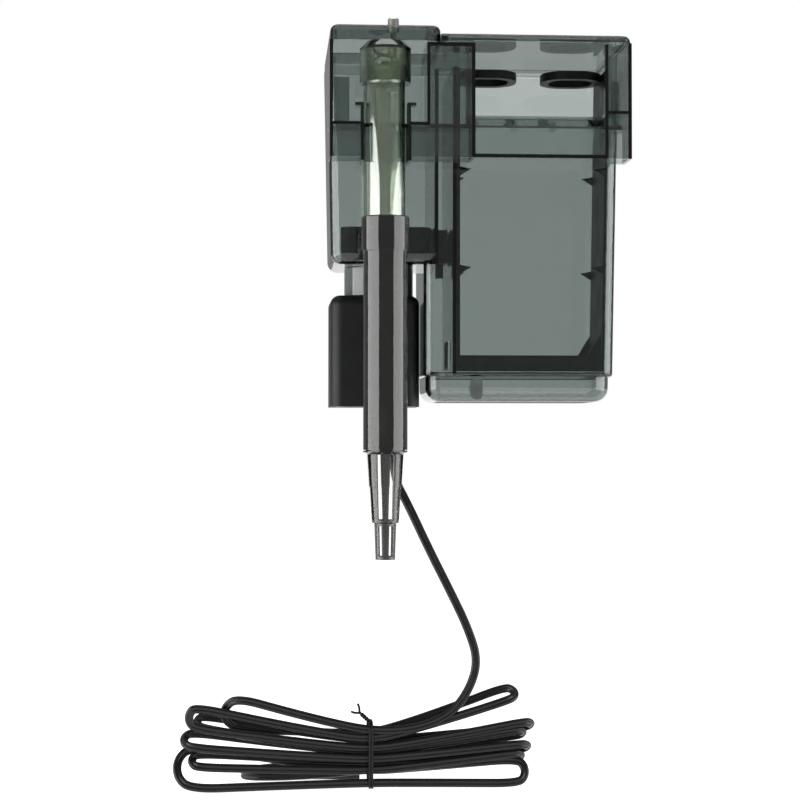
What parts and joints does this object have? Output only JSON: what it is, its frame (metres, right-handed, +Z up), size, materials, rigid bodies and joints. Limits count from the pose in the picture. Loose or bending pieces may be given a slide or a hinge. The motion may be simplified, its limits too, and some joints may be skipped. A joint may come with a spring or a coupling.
{
  "type": "hang on back aquarium filter",
  "caption": "Hang-on-back aquarium filter with a transparent smoke-tinted case, telescopic intake tube, strainer, black pump motor, spillway spout and coiled mains cord.",
  "frame": {"origin": "centre of the rim seat, the underside of the bridge that rests on the tank's rim", "axes": "+Z up, -Y into the tank, +X along the rim, to the right seen from inside the tank"},
  "size_m": [0.255, 0.1237, 0.4346],
  "materials": {
    "smoke_case": "glossy transparent smoke-tinted acrylic",
    "clear_pipe": "glossy transparent tinted tube",
    "grey_pipe": "translucent grey tube",
    "grey_well": "translucent grey moulding",
    "black_plastic": "fine satin black moulding",
    "knob_steel": "satin steel",
    "ferrite": "dark sintered magnet",
    "ceramic": "white ceramic shaft",
    "lamination": "stacked electrical steel",
    "coil": "varnished copper winding",
    "seal_rubber": "soft black seal",
    "screw_steel": "screws",
    "cord_pvc": "black PVC cord",
    "tie_plastic": "plastic-coated twist tie",
    "plug_plastic": "black plug moulding",
    "pin_metal": "nickel-plated brass",
    "clear_foot": "clear levelling foot"
  },
  "bodies": {
    "case": {"filter_case": "smoke_case", "intake_elbow": "clear_pipe", "intake_pipe": "clear_pipe", "pump_volute": "black_plastic", "volute_cover": "black_plastic", "elbow_seal": "seal_rubber", "upper_bush": "seal_rubber", "lower_bush": "seal_rubber", "impeller_shaft": "ceramic", "impeller_well": "grey_well", "well_o_ring": "seal_rubber", "motor_shell": "black_plastic", "stator_core": "lamination", "stator_coil": "coil", "motor_base": "black_plastic", "base_screws": "screw_steel", "cord_gland": "seal_rubber", "cord_run": "cord_pvc", "cord_tail": "cord_pvc", "cord_hank": "cord_pvc", "cord_tie": "tie_plastic", "plug_body": "plug_plastic", "plug_pins": "pin_metal"},
    "intake_lid": {"intake_lid": "smoke_case"},
    "media_lid": {"media_lid": "smoke_case"},
    "flow_control": {"flow_knob": "knob_steel", "flow_valve": "clear_pipe"},
    "rotor": {"impeller": "black_plastic", "rotor_magnet": "ferrite"},
    "extension": {"extension_pipe": "grey_pipe"},
    "strainer": {"strainer": "grey_pipe"},
    "media_frame": {"media_frame": "black_plastic"},
    "levelling_foot": {"levelling_foot": "clear_foot"}
  },
  "joints": [
    {"name": "intake_lid_lift", "type": "slide", "parent": "case", "child": "intake_lid", "axis": [0, 0, 1], "range_m": [0, 0.03]},
    {"name": "media_lid_lift", "type": "slide", "parent": "case", "child": "media_lid", "axis": [0, 0, 1], "range_m": [0, 0.03]},
    {"name": "flow_turn", "type": "hinge", "parent": "case", "child": "flow_control", "pos_m": [-0.0481, -0.0205, 0.05], "axis": [0, 0, 1], "range_deg": [0, 90]},
    {"name": "rotor_spin", "type": "hinge", "parent": "case", "child": "rotor", "pos_m": [-0.0525, 0.044, -0.1], "axis": [0, 0, 1], "continuous": true},
    {"name": "extension_slide", "type": "slide", "parent": "case", "child": "extension", "axis": [0, 0, 1], "range_m": [-0.006, 0.029]},
    {"name": "strainer_pull", "type": "slide", "parent": "extension", "child": "strainer", "axis": [0, 0, -1], "range_m": [0, 0.02]},
    {"name": "frame_lift", "type": "slide", "parent": "case", "child": "media_frame", "axis": [0, 0, 1], "range_m": [0, 0.007]},
    {"name": "foot_slide", "type": "slide", "parent": "case", "child": "levelling_foot", "axis": [0, -1, 0], "range_m": [0, 0.008]}
  ]
}
